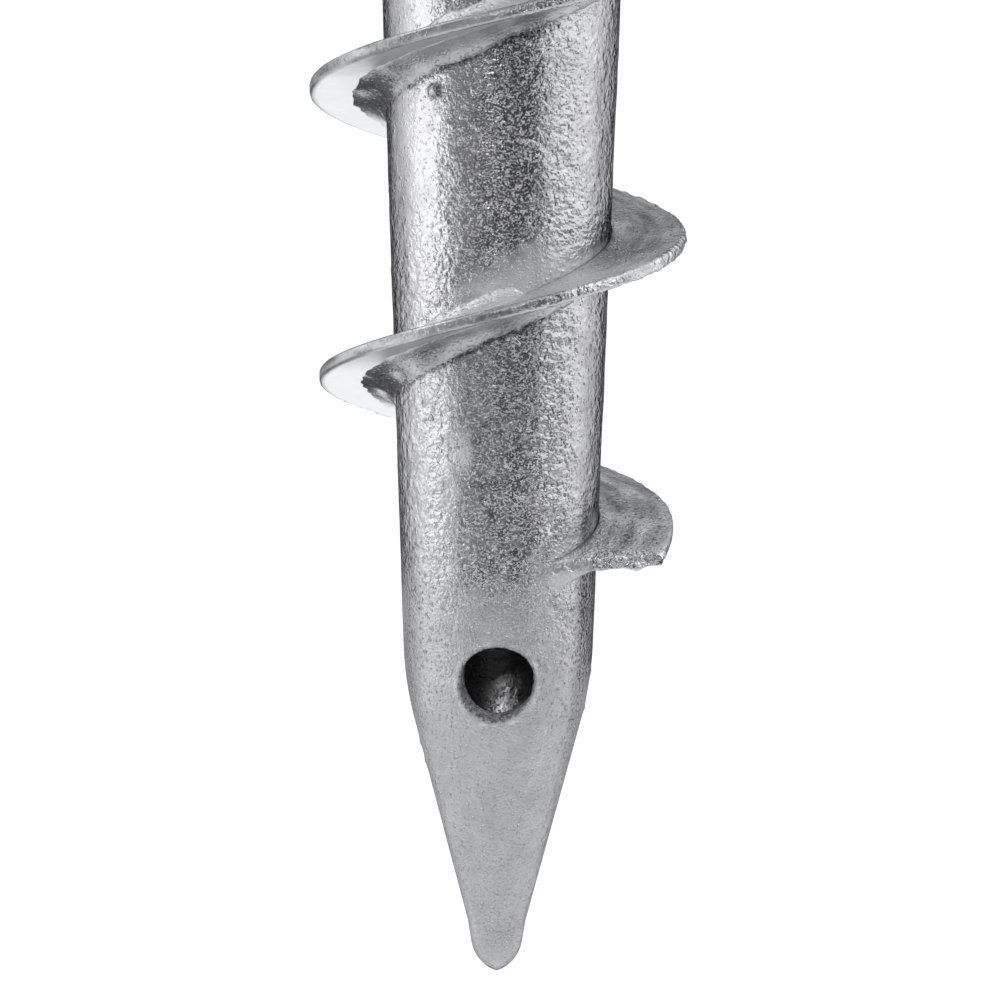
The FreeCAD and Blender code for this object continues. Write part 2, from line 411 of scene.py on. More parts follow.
def side_rows(first, last, lower_cell, upper_cell):
    """Heights of a side's rows, even across the drain hole's patch, and the patch's first row."""
    low = drain_height - drain_patch_half
    high = drain_height + drain_patch_half
    below = spaced(first, low, lower_cell)
    across = np.linspace(low, high, drain_patch_cells + 1)
    return np.concatenate([below, across, spaced(high, last, upper_cell)[1:]]), len(below)


def outer_grid():
    """Points of the shaft's outside by rows, its angles and the drain patch's first row."""
    nose_radii, nose_heights = nose_profile()
    fine_heights, row = side_rows(nose_side_height, fine_skin_top, skin_cell, skin_cell)
    upper_heights = spaced(fine_skin_top, shaft_length, upper_skin_cell)
    side_heights = np.concatenate([fine_heights, upper_heights, [shaft_length]])
    heights = np.concatenate([nose_heights, side_heights])
    radii = np.concatenate([nose_radii, shaft_radius(side_heights)])
    columns = np.arange(skin_columns) - skin_columns // 2
    angles = drain_azimuth + 360 / skin_columns * columns
    points = polar_points(radii[:, None], angles[None, :], heights[:, None])
    return points, angles, len(nose_heights) + row


def inner_grid(angles):
    """Points of the hollow's side by rows, in some of the columns, and the patch's first row."""
    heights, row = side_rows(
        cavity_floor_height, shaft_length, inner_skin_cell_low, inner_skin_cell)
    heights = np.append(heights, shaft_length)
    return polar_points(cavity_radius(heights)[:, None], angles[None, :], heights[:, None]), row


def kept_columns():
    """The hollow's columns: all of them beside the drain hole, and one in five elsewhere."""
    first = skin_columns // 2 - drain_patch_cells // 2
    last = first + drain_patch_cells
    return [
        *range(0, first, inner_column_step), *range(first, last),
        *range(last, skin_columns, inner_column_step)]


def shaft_skin_shape():
    """Points and faces of the whole shaft: outside, drain hole, hollow and head end."""
    cells = drain_patch_cells
    outer, angles, first_row = outer_grid()
    kept = kept_columns()
    inner, inner_row = inner_grid(angles[kept])
    first_column = skin_columns // 2 - cells // 2
    inner_column = kept.index(first_column)
    outer_rows = len(outer)
    inner_rows = len(inner)
    outer = outer.reshape(-1, 3)
    inner = inner.reshape(-1, 3)
    rows, columns = patch_loop(first_row, first_column, cells)
    outer_loop = rows * skin_columns + columns
    rows, columns = patch_loop(inner_row, inner_column, cells)
    inner_start = len(outer)
    inner_loop = inner_start + rows * len(kept) + columns
    rings = drain_rings(outer[outer_loop], inner[inner_loop - inner_start])
    ring_start = inner_start + len(inner)
    count = len(outer_loop)
    loops = [outer_loop]
    loops += [ring_start + count * number + np.arange(count) for number in range(len(rings))]
    loops.append(inner_loop)
    points = np.concatenate([outer, inner] + rings + [[[0, 0, 0], [0, 0, cavity_floor_height]]])
    outer_quads = grid_quads(outer_rows, skin_columns, (first_row, first_column, cells))
    inner_quads = grid_quads(inner_rows, len(kept), (inner_row, inner_column, cells))
    quads = [outer_quads, inner_start + inner_quads[:, ::-1], ring_quads(loops)]
    faces = np.concatenate(quads).tolist()
    faces += end_fan(len(points) - 2, np.arange(skin_columns)[::-1])
    faces += end_fan(len(points) - 1, inner_start + np.arange(len(kept)))
    faces += head_end_faces(
        (outer_rows - 1) * skin_columns, kept, inner_start + (inner_rows - 1) * len(kept))
    return points, faces


def drain_rings(outer_side, inner_side):
    """Rings from the outer side over the hole's rounded edge and down its wall to the hollow."""
    around = azimuth_of(outer_side) - drain_azimuth
    turn = np.arctan2(
        outer_side[:, 2] - drain_height, np.radians(around) * shaft_radius(drain_height))
    rim = drain_ring(turn, drain_radius + drain_edge_round, 0, shaft_radius)
    rings = patch_rings(outer_side, rim, shaft_radius, 6)
    for quarter in np.linspace(0, math.pi / 2, 5):
        radius = drain_radius + drain_edge_round * (1 - math.sin(quarter))
        depth = drain_edge_round * (1 - math.cos(quarter))
        rings.append(drain_ring(turn, radius, depth, shaft_radius))
    foot = drain_ring(turn, drain_radius, 0, cavity_radius)
    for share in (0.25, 0.5, 0.75):
        rings.append((1 - share) * rings[-1] + share * foot)
    rings.append(foot)
    rings += patch_rings(inner_side, foot, cavity_radius, 4)[::-1]
    return rings


def end_fan(centre, loop):
    """Triangles between a centre and a closed loop."""
    return [[int(centre), int(a), int(b)] for a, b in zip(loop, np.roll(loop, -1))]


def head_end_faces(outer_start, kept, inner_start):
    """The flat ring at the head end, whose inner loop has only some of the outer columns."""
    faces = []
    for place, column in enumerate(kept):
        after = kept[place + 1] if place + 1 < len(kept) else skin_columns
        outer = [outer_start + number % skin_columns for number in range(column, after + 1)]
        faces.append(outer + [inner_start + (place + 1) % len(kept), inner_start + place])
    return faces


# Shape of the flight and its welds

def flight_height(angle):
    """Height of the flight's middle plane."""
    return flight_front_height + flight_pitch * angle / 360


def flight_end_angle():
    """Angle of the flight's tail."""
    return flight_start_angle + 360 * flight_turns


def half_axial_thickness():
    """Half of the plate's thickness measured along the axis."""
    middle_radius = tube_radius + flight_width / 2
    slope = math.atan(flight_pitch / (2 * math.pi * middle_radius))
    return plate_thickness / math.cos(slope) / 2


def ruling(angle, offset):
    """Root and rim points of the flight's surface at an offset above its middle plane."""
    angle, offset = np.broadcast_arrays(np.asarray(angle, float), offset)
    lead = np.clip(1 - (angle - flight_start_angle) / lead_length_angle, 0, None) ** 2
    root_height = flight_height(angle) + lead * lead_root_rise + offset
    rim_angle = angle + lead * lead_sweep_angle
    rim_radius = shaft_radius(flight_height(rim_angle)) + flight_width
    rim_height = flight_height(rim_angle) - lead * lead_rim_drop + offset
    root = polar_points(shaft_radius(root_height), angle, root_height)
    return root, polar_points(rim_radius, rim_angle, rim_height)


def plate_section():
    """Widths and heights round the strip's section, from its lower root to its upper root."""
    flat = np.linspace(root_round, flight_width - rim_round, 21)
    turn = np.linspace(0, math.pi / 2, 4)
    half = plate_thickness / 2
    edge_width = flight_width - rim_round + rim_round * np.sin(turn)[1:]
    edge_height = half - rim_round * (1 - np.cos(turn)[1:])
    roll = np.linspace(0, math.pi / 2, 5)[1:]
    roll_width = root_round * (1 - np.sin(roll))
    roll_height = half - root_round * (1 - np.cos(roll))
    lower_width = np.concatenate([[-sunk], roll_width[::-1], flat, edge_width])
    lower_height = np.concatenate([np.full(len(flat) + len(roll) + 1, half), edge_height])
    upper_width = np.concatenate([edge_width[::-1], flat[::-1], roll_width, [-sunk]])
    upper_height = np.concatenate(
        [edge_height[::-1], np.full(len(flat), half), roll_height, roll_height[-1:]])
    heights = np.concatenate([-lower_height, upper_height])
    return np.concatenate([lower_width, upper_width]), heights / half


def flight_stations():
    """Angles of the strip's sections and how full each is: thinner where its ends are rounded."""
    middle_radius = tube_radius + flight_width / 2
    reach = math.degrees(end_round / middle_radius)
    turn = np.linspace(0, math.pi / 2, 5)
    first = flight_start_angle + reach * (1 - np.cos(turn))
    last = flight_end_angle() - reach * (1 - np.cos(turn))[::-1]
    count = round((last[0] - first[-1]) / flight_step_angle)
    between = np.linspace(first[-1], last[0], count + 1)[1:-1]
    thinner = 2 * end_round / plate_thickness * (1 - np.sin(turn))
    fullness = np.concatenate([1 - thinner, np.ones(len(between)), 1 - thinner[::-1]])
    return np.concatenate([first, between, last]), fullness


def flight_shape():
    """Points and faces of the strip, closed by a ladder of cells at each end."""
    widths, heights = plate_section()
    angles, fullness = flight_stations()
    count = len(angles) - 1
    offsets = heights[None, :] * fullness[:, None] * half_axial_thickness()
    root, rim = ruling(angles[:, None], offsets)
    across = (rim - root) / flight_width
    points = (root + across * widths[None, :, None]).reshape(-1, 3)
    faces = grid_quads(count + 1, len(widths))[:, ::-1].tolist()
    points, first_cap = end_ladder(points, np.arange(len(widths)))
    points, last_cap = end_ladder(points, count * len(widths) + np.arange(len(widths)))
    return points, faces + first_cap + [face[::-1] for face in last_cap]


def end_ladder(points, loop):
    """Adds points between the lower and upper halves of an end loop and gives its cells."""
    pairs = len(loop) // 2
    lower, upper = loop[:pairs], loop[::-1][:pairs]
    lines = [lower]
    for share in (0.25, 0.5, 0.75):
        lines.append(len(points) + np.arange(pairs - 1))
        between = (1 - share) * points[lower[:-1]] + share * points[upper[:-1]]
        points = np.concatenate([points, between])
    lines.append(upper)
    faces = []
    for one, two in zip(lines, lines[1:]):
        for place in range(pairs - 2):
            faces.append([one[place], one[place + 1], two[place + 1], two[place]])
    faces.append([line[pairs - 2] for line in lines] + [upper[-1], lower[-1]])
    faces.append([line[0] for line in lines])
    return points, [[int(number) for number in face] for face in faces]


def weld_section(angle, side, leg_plate, leg_shaft, round_points=7):
    """Points round a fillet weld at each angle: sunk corner, toes and a hollow face between."""
    root, rim = ruling(angle, side * half_axial_thickness())
    outward = rim - root
    outward /= np.linalg.norm(outward, axis=-1, keepdims=True)
    plate_toe = root + outward * leg_plate[:, None]
    toe_height = root[:, 2] + side * leg_shaft
    shaft_toe = polar_points(shaft_radius(toe_height) - sunk / 4, angle, toe_height)
    share = np.linspace(0, 1, round_points)[None, :, None]
    inward_middle = root[:, None] - (plate_toe + shaft_toe)[:, None] / 2
    hollow = weld_hollow * np.sin(math.pi * share) * inward_middle
    face = (1 - share) * shaft_toe[:, None] + share * plate_toe[:, None] + hollow
    into_plate = plate_toe - np.array([0, 0, side * sunk])
    inward = polar_points(-sunk, angle, 0)
    corner = root - np.array([0, 0, side * sunk]) + inward
    into_shaft = shaft_toe + inward
    loop = [into_shaft[:, None], face, into_plate[:, None], corner[:, None]]
    return np.concatenate(loop, axis=1)


def uneven(angles, seed):
    """A weld's uneven growth along its angles, in long and short waves."""
    growth = np.ones(len(angles))
    for number, (length, share) in enumerate(weld_waves):
        growth += share * waves(angles, length, seed + 5 * number)
    return growth


def weld_shape(first, last, side, leg_plate, leg_shaft, seed, start_taper, end_taper):
    """Points and faces of one run of fillet weld, its legs uneven and its ends drawn thin."""
    count = round((last - first) / weld_step_angle)
    angles = np.linspace(first, last, count + 1)
    from_end = np.minimum((angles - first) / start_taper, (last - angles) / end_taper)
    ends = np.clip(np.sin(math.pi / 2 * np.clip(from_end, 0, 1)) ** 0.7, 0.06, 1)
    loops = weld_section(
        angles, side, leg_plate * ends * uneven(angles, seed),
        leg_shaft * ends * uneven(angles, seed + 1))
    around = loops.shape[1]
    quads = grid_quads(count + 1, around)
    first_loop = list(range(around))
    last_loop = list(range(count * around, (count + 1) * around))
    faces = quads.tolist() + [first_loop[::-1], last_loop]
    if side < 0:
        faces = [face[::-1] for face in faces]
    return loops.reshape(-1, 3), faces


def fairing_front(share, side, flat_face):
    """The fairing's hollow front curve, from the shaft at share 0 to the strip's face at 1."""
    near = polar_points(side, flight_start_angle, 0)
    far = polar_points(side - fairing_overlap, flight_start_angle - fairing_angle, 0)
    curve = (1 - share) ** 2 * far + 2 * share * (1 - share) * near
    curve += share ** 2 * (near + flat_face)
    return curve + np.array([0, -fairing_front_growth * min(1, 3 * share), 0])


def fairing_ring(share):
    """One upright section of the fairing: its sunk back, its front and the weld below it."""
    half = half_axial_thickness()
    root, rim = ruling(flight_start_angle, 0)
    along_face = (rim - root) * fairing_reach / np.linalg.norm(rim - root)
    flat_face = along_face * [1, 1, 0]
    lift = along_face[2] * share ** 2
    top = root[2] + half - fairing_top_inset
    bottom = root[2] - half + fairing_bottom_inset
    side = float(shaft_radius(root[2]))
    back_angle = flight_start_angle - fairing_angle * max(0, 1 - 2 * share)
    back = polar_points(side - sunk, back_angle, 0) + flat_face * max(0, 2 * share - 1)
    front = fairing_front(share, side, flat_face)
    rows = [top + lift, top + lift - fairing_edge, (top + bottom) / 2 + lift, bottom + lift]
    ring = [back + [0, 0, rows[0]]] + [front + [0, 0, row] for row in rows]
    toe_angle = flight_start_angle - fairing_angle * (1 - share) + fairing_toe_angle * share
    toe = bottom - weld_skin_growth * under_weld_leg * (0.3 + 0.7 * share)
    for drop in np.linspace(0, 1, 8)[1:]:
        height = rows[-1] + drop * (toe - rows[-1])
        skin = polar_points(float(shaft_radius(height)), toe_angle, 0)
        ring.append(skin + (front - skin) * (1 - drop) ** 1.8 + [0, 0, height])
    for height in (toe, bottom):
        ring.append(polar_points(float(shaft_radius(height)) - sunk, toe_angle, height))
    return np.stack(ring)


def lead_fairing_shape():
    """The zinc and weld that fair the strip's leading face into the shaft."""
    loops = [fairing_ring(share) for share in np.linspace(0, 1, 17)]
    around = len(loops[0])
    faces = grid_quads(len(loops), around).tolist()
    last = (len(loops) - 1) * around
    faces.append(list(range(around))[::-1])
    faces.append(list(range(last, last + around)))
    return np.concatenate(loops), [face[::-1] for face in faces]


def waves(values, size, seed):
    """Smooth noise along a line of values."""
    return np.array([noise.noise(Vector((value / size, seed * 7.3, 0.5))) for value in values])


def joined(shapes):
    """Several shapes as one list of points and one of faces."""
    points, faces = [], []
    for shape_points, shape_faces in shapes:
        start = sum(len(part) for part in points)
        points.append(shape_points)
        faces += [[start + number for number in face] for face in shape_faces]
    return np.concatenate(points), faces


def top_weld_shape():
    """All stitches on top of the flight."""
    shapes = []
    first = top_weld_first_angle
    while first + top_weld_length_angle <= flight_end_angle():
        last = first + top_weld_length_angle
        shapes.append(weld_shape(
            first + top_weld_skin_inset_angle, last, 1, top_weld_skin_plate_leg,
            weld_skin_growth * top_weld_leg, first, 26.0, 15.0))
        first += top_weld_spacing_angle
    return joined(shapes)


def saddle_weld_shape():
    """The ring of weld under the saddle, with even ripples round it."""
    count = saddle_weld_columns
    angles = np.arange(count) * 360 / count
    ripple = 1 + 0.05 * np.sin(np.radians(angles) * saddle_weld_ripples)
    ripple += 0.12 * waves(angles, 15.0, 3)
    ripple[-8:] = np.linspace(ripple[-8], ripple[0], 8)
    share = np.linspace(0, 1, 7)
    bulge = 0.12 * np.sin(math.pi * share)
    loops = []
    for part, swell in zip(share, bulge):
        out = saddle_weld_leg * (part + swell) * ripple
        down = saddle_weld_leg * (1 - part + swell) * ripple
        height = np.minimum(shaft_length - down, shaft_length - 0.02)
        loops.append(polar_points(tube_radius + out, angles, height))
    loops.append(polar_points(tube_radius - sunk, angles, shaft_length - 0.02))
    loops.insert(0, polar_points(tube_radius - sunk, angles, loops[0][:, 2]))
    points = np.stack(loops).reshape(-1, 3)
    quads = grid_quads(len(loops), count)
    closing = grid_quads(2, count)
    closing = np.where(closing >= count, closing - count, closing + (len(loops) - 1) * count)
    return points, np.concatenate([quads, closing]).tolist()


# Zinc

def ramp(value, empty, full):
    """A mask that grows evenly from 0 at one value to 1 at another."""
    return np.clip((value - empty) / (full - empty), 0, 1)


def band(value, middle, half_width, fade):
    """A mask that is 1 round a middle value and fades to 0 at a half width from it."""
    return np.clip((half_width - abs(value - middle)) / fade, 0, 1)


def lumps(points, size, seed, stretch=1.0):
    """Smooth noise at points, its lumps of a size in millimetres and longer along the shaft."""
    shift = np.array([seed * 13.7, seed * 5.1, seed * 9.3])
    places = points / np.array([size, size, size * stretch]) + shift
    return np.array([noise.noise(Vector(place)) for place in places])


def patches(points, middle, contrast, size, seed, stretch=1.0):
    """A mask in soft patches of a size, the more of them the higher its middle value."""
    return np.clip(middle + contrast * lumps(points, size, seed, stretch), 0, 1)


def layered(points, layers):
    """Several layers of lumps on top of each other."""
    relief = np.zeros(len(points))
    for height, size, seed, stretch in layers:
        relief += height * lumps(points, size, seed, stretch)
    return relief


def spots(points, places):
    """Rises and pits: each place has a centre, a radius and a height in millimetres."""
    rise = np.zeros(len(points))
    for centre, radius, height in places:
        near = np.abs(points[:, 2] - centre[2]) < 3 * radius
        away = np.sum((points[near] - centre) ** 2, axis=1)
        rise[near] += height * np.exp(-away / radius ** 2)
    return rise


def scattered_beads(count, low, high, seed):
    """Small zinc beads at random places of the shaft's side."""
    chance = np.random.RandomState(seed)
    places = []
    for _ in range(count):
        height = chance.uniform(low, high)
        centre = on_shaft(chance.uniform(0, 360), height)
        places.append((centre, chance.uniform(0.6, 1.1), chance.uniform(0.08, 0.28)))
    return places


def placed(name, data):
    """A new object in the scene."""
    piece = bpy.data.objects.new(name, data)
    scene.collection.objects.link(piece)
    return piece


def skin_piece(name, shape, relief, shades, material, nodes):
    """A zinc skin: a shape raised along its normals by a relief, laid down on the frame."""
    points, faces = shape
    used = np.unique(np.concatenate([np.asarray(face) for face in faces]))
    renumber = np.full(len(points), -1)
    renumber[used] = np.arange(len(used))
    mesh = bpy.data.meshes.new(name)
    mesh.from_pydata(points[used].tolist(), [], [renumber[face].tolist() for face in faces])
    mesh.update()
    mesh.shade_smooth()
    normals = np.empty(len(used) * 3, np.float32)
    mesh.vertex_normals.foreach_get("vector", normals)
    normals = normals.reshape(-1, 3)
    moved = points[used] + normals * relief(points[used])[:, None]
    mesh.vertices.foreach_set("co", moved.astype(np.float32).ravel())
    for title, values in shades(points[used], normals).items():
        mesh.attributes.new(title, "FLOAT", "POINT").data.foreach_set(
            "value", np.clip(values, 0, None).astype(np.float32))
    mesh.transform(lay)
    mesh.update()
    mesh.materials.append(material)
    piece = placed(name, mesh)
    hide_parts(*nodes)
    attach(piece, "root")


def shaft_relief(points):
    """How the zinc lies on the shaft: hammered on the tube, smooth on the cone, with beads."""
    hammered = np.clip((points[:, 2] - 72) / 34, 0.15, 1)
    relief = hammered * layered(points, shaft_lumps)
    for field in bead_fields:
        relief += spots(points, scattered_beads(*field))
    relief += spots(points, [(on_shaft(angle, height), *size) for angle, height, *size in beads])
    for angle, height, half_angle, half_height in splashes:
        rough = spots(points, [(on_shaft(angle, height), half_height, 1.0)])
        relief += rough * (0.25 * lumps(points, 2.6, 7) + 0.12)
    relief[beyond_shaft(points) < -tube_wall / 2] = 0
    return relief + 0.12 * near_drain(points) * lumps(points, 1.6, 6)


def from_drain_axis(points):
    """Distances of points from the drain hole's axis."""
    mouth, aside, up, out = drain_frame()
    offset = points - mouth
    return np.hypot(offset @ aside, offset @ up)


def near_drain(points):
    """A mask of the drain hole's wall and edge."""
    outside = beyond_shaft(points) > -shoulder_wall - 1
    return ramp(drain_radius + 0.9 - from_drain_axis(points), 0, 0.6) * outside


def drain_lip(points):
    """A mask of a painted highlight, a thin bright line on glossier zinc round the drain hole's
    mouth, broken in places.
    """
    on_side = beyond_shaft(points) > -1.5
    off_line = abs(from_drain_axis(points) - drain_radius - lip_distance)
    line = np.clip(1.2 - off_line / lip_half_width, 0, 1)
    return line * on_side * patches(points, 0.6, 2, 2.5, 43)


def above_plate(points):
    """Height above the flight's upper side at its nearest turn, very large off its ends."""
    angle = azimuth_of(points)
    rise = points[:, 2] - flight_height(angle)
    turns = np.round(rise / flight_pitch)
    along = angle + 360 * turns
    on_flight = (along > flight_start_angle) & (along < flight_end_angle())
    return np.where(on_flight, rise - flight_pitch * turns, 1000) - half_axial_thickness()


def ragged_line(points):
    """Noise in millimetres that makes the zones' outlines ragged."""
    return 7 * lumps(points, 9.0, 31) + 4 * lumps(points, 3.0, 32)


def matt_zone(points, ragged):
    """The matt zinc from the tip to above the shoulder, where it ends lower at the right."""
    top = matt_top_height - matt_top_drop * ramp(azimuth_of(points), 32, 48)
    return matt_share * ramp(top + ragged - points[:, 2], 0, 16)


def splash_zone(points, ragged):
    """The splashes of thick zinc."""
    angle = azimuth_of(points)
    zone = np.zeros(len(points))
    for spot_angle, spot_height, half_angle, half_height in splashes:
        away = np.hypot(
            (angle - spot_angle) / half_angle, (points[:, 2] - spot_height) / half_height)
        zone = np.maximum(zone, ramp(1.15 + ragged / 18 - away, 0, 0.5))
    return zone


def cloud_zone(points, ragged):
    """Pooled smooth zinc in front, above the weld on top of the flight, painted pale for the
    flight's top that it reflects.
    """
    angle = azimuth_of(points)
    above = points[:, 2] - flight_height(angle) - half_axial_thickness() - top_weld_leg
    cloud = ramp(cloud_top + ragged / 2 - above, 0, 8) * (above > -top_weld_leg)
    return band(angle, *cloud_span) * cloud


def pool_zone(points, ragged):
    """Pooled zinc above the plate's root at the right, deeper near the leading end, painted pale for
    the light that it reflects from above.
    """
    from_plate = above_plate(points)
    near_lead = ramp(flight_front_height - 25 - points[:, 2], 0, 10)
    top = pool_top + lead_pool_rise * near_lead + ragged / 4
    pool = ramp(top - from_plate, 0, 1.5 + 3 * near_lead) * (from_plate > -1)
    return pool * band(azimuth_of(points), *pool_span)


def calm_zone(points):
    """The smoother zinc at the right, in the last millimetres above the flight."""
    from_plate = above_plate(points)
    near_plate = ramp(calm_top - from_plate, 0, 8) * (from_plate > -1)
    return near_plate * ramp(azimuth_of(points), 15, 30)


def painted_crevice_shadow(points, ragged):
    """Painted shadow: a dark line in front, under the toe of the weld under the flight."""
    from_plate = above_plate(points)
    under_toe = from_plate + plate_thickness + weld_skin_growth * under_weld_leg
    crevice_shadow = ramp(under_toe + crevice_shadow_reach + ragged / 6, 0, 0.8) * (under_toe < 1)
    return crevice_shadow * band(azimuth_of(points), *crevice_shadow_span)


def painted_flank_shade(points):
    """Painted shade at both flanks of the shaft, in place of the dark reflections there, darkest at
    the lower right.
    """
    angle = azimuth_of(points)
    height = points[:, 2]
    flank_shade = ramp(abs(angle), 50, 59) * ramp(118 - abs(angle), 0, 25) * ramp(330 - height, 0, 60)
    flank_shade *= np.clip((height - 40) / 40, 0.25, 1)
    flank_shade *= patches(points, 0.8, 1, 14.0, 40, 2.5)
    right = 0.35 + 0.5 * ramp(130 - height, 0, 15)
    left = 0.25 + 0.15 * ramp(205 - height, 0, 30)
    return flank_shade * np.where(angle > 0, right, left)


def dark_marks(points):
    """The shaft's dark pits and the ring round its largest bead."""
    marks = spots(points, [(on_shaft(angle, height), radius, 1.0) for angle, height, radius in pits])
    angle, height, radius, rise = ringed_bead
    away = np.linalg.norm(points - on_shaft(angle, height), axis=1)
    return marks + np.clip(1.2 - abs(away - 1.1 * radius) / 0.75, 0, 1)


def shaft_shades(points, normals):
    """Masks of the shaft: where its zinc is dull, hazy, gritty, hammered, sandy or has stains, and
    where shade and light are painted on it.
    """
    angle = azimuth_of(points)
    height = points[:, 2]
    ragged = ragged_line(points)
    wall = near_drain(points)
    lip = drain_lip(points)
    inside = (beyond_shaft(points) < -tube_wall / 2) & (wall < 0.5)
    splash = splash_zone(points, ragged)
    cloud = cloud_zone(points, ragged)
    pool = pool_zone(points, ragged)
    calm = calm_zone(points)
    crevice_shadow = painted_crevice_shadow(points, ragged)
    dull = np.maximum.reduce(
        [matt_zone(points, ragged), 0.4 * splash, 0.7 * cloud, 0.5 * pool, wall])
    dull = np.where(inside, 0.15, dull * (1 - 0.5 * lip))
    shaded = shade_stain * ramp(abs(angle - 6), 14, 39) * ramp(76 - height, 0, 12)
    sideways = 40 * lumps(points, 12.0, 33, 2.5)
    front = band(angle + 0.12 * sideways, *gritty_span)
    right = band(angle + 0.2 * sideways, *hammered_span)
    left = band(angle + 0.12 * sideways, *bright_span)
    elsewhere = 1 - np.clip(front + right + left, 0, 1)
    patchy = patches(points, 0.5, 2.2, 22.0, 34, 2.0)
    sparser = np.clip(
        1 + 0.7 * lumps(points, 7.0, 36, 1.6) + 0.6 * lumps(points, 2.5, 37), 0.6, 1.4)
    above_shoulder = ramp(height - 96 - ragged, 0, 16)
    cone = ramp(72 - height, 0, 10)
    upper = ramp(height, 178, 203)
    smooth = 1 - np.clip(0.6 * cloud + 0.2 * splash + 0.5 * pool, 0, 1)
    gritty = (front + elsewhere * patchy) * above_shoulder * smooth * sparser
    hammered = right + elsewhere * (1 - patchy) + (0.9 - 0.75 * upper) * left
    hammered *= smooth * (0.35 + 0.65 * above_shoulder) * (1 - 0.55 * calm)
    sandy = np.clip(1.3 - above_shoulder - 0.6 * cone + splash, 0.3, 1)
    # Real stains, with painted shade at the flanks, under the weld's toe and on the cone's sides.
    stains_and_shade = np.maximum.reduce(
        [wall_stain * wall, crevice_shadow, (matt_stain + (cone_stain - matt_stain) * cone) * dull,
         painted_flank_shade(points), shaded, dark_marks(points)])
    return {
        "dull": dull, "haze": ramp(200 + 3 * ragged - height, 0, 80), "sheen": wall,
        # Paler zinc in splashes, the matt zone and the hole's wall; painted reflections on the
        # pooled zinc, and a painted highlight on the lip.
        "pale": np.maximum.reduce([cloud, 0.5 * splash, 0.6 * pool, 0.4 * wall, 0.5 * dull, lip]),
        "grit": np.where(inside, 0.1, gritty),
        "patina": np.maximum.reduce([wall, 0.55 * cloud, 0.3 * pool, 0.3 * dull]) * ~inside,
        "peel": hammered,
        "sand": sandy * np.where(inside, 0.2, 1),
        "skin": np.where(inside, 0.25, 1 - 0.55 * left * upper - 0.3 * calm),
        "stain": stains_and_shade * (1 - lip)}


def beyond_shaft(points):
    """How far points stand out from the shaft's side."""
    return np.hypot(points[:, 0], points[:, 1]) - shaft_radius(points[:, 2])


def flight_turn(points):
    """Angle of points along the flight, counted on through all its turns."""
    angle = azimuth_of(points)
    wanted = (points[:, 2] - flight_front_height) / flight_pitch * 360
    return angle + 360 * np.round((wanted - angle) / 360)


def azimuth_on_flight(turn):
    """Angles along the flight as angles round the shaft, between -180 and 180."""
    return turn - 360 * np.round(turn / 360)


def flight_crust(points):
    """Where lumps of zinc sit on the flight: along the rim in stretches and at its leading end."""
    turn = flight_turn(points)
    rim = ramp(beyond_shaft(points) - flight_width + 2.6, 0, 2.2)
    along_rim = np.stack([turn / 60, 0 * turn, 0 * turn], axis=1)
    stretches = np.clip(0.4 + 1.8 * lumps(along_rim, 1, 14), 0.12, 1)
    stretches *= 1 - 0.8 * band(azimuth_on_flight(turn), *clean_rim_span)
    for centre, half in crust_stretches:
        stretches = np.maximum(stretches, ramp(half + 12 - abs(turn - centre), 0, 12))
    root, rim_end = ruling(flight_start_angle, 0)
    edge = rim_end - root
    edge /= np.linalg.norm(edge)
    along = (points - root) @ edge
    across = np.linalg.norm(points - root - along[:, None] * edge, axis=1)
    lead = ramp(4.5 - across, 0, 3) * ramp(along, 6, 11)
    return np.maximum(rim * stretches, lead)


def flight_drips():
    """Drips of zinc that hang under the flight: centre, radius and height."""
    places = []
    for turn, width, radius, height in drips:
        root, rim = ruling(turn, -half_axial_thickness())
        places.append((root + (rim - root) * width / flight_width, radius, height))
    return places


def flight_relief(points):
    """How the zinc lies on the flight: soft on its faces, gathered in lumps along its rim."""
    crust = flight_crust(points)
    relief = layered(points, flight_lumps)
    relief += crust * 0.35 * lumps(points, 1.7, 12)
    relief += crust * 0.45 * np.clip(lumps(points, 3.5, 13), 0, None)
    return relief + spots(points, flight_drips())


def streaks_along(turn, across, length, width, seed):
    """Noise in streaks along the flight, with a length in degrees and a width in millimetres."""
    return lumps(np.stack([turn / length, across / width, 0 * turn], axis=1), 1, seed)


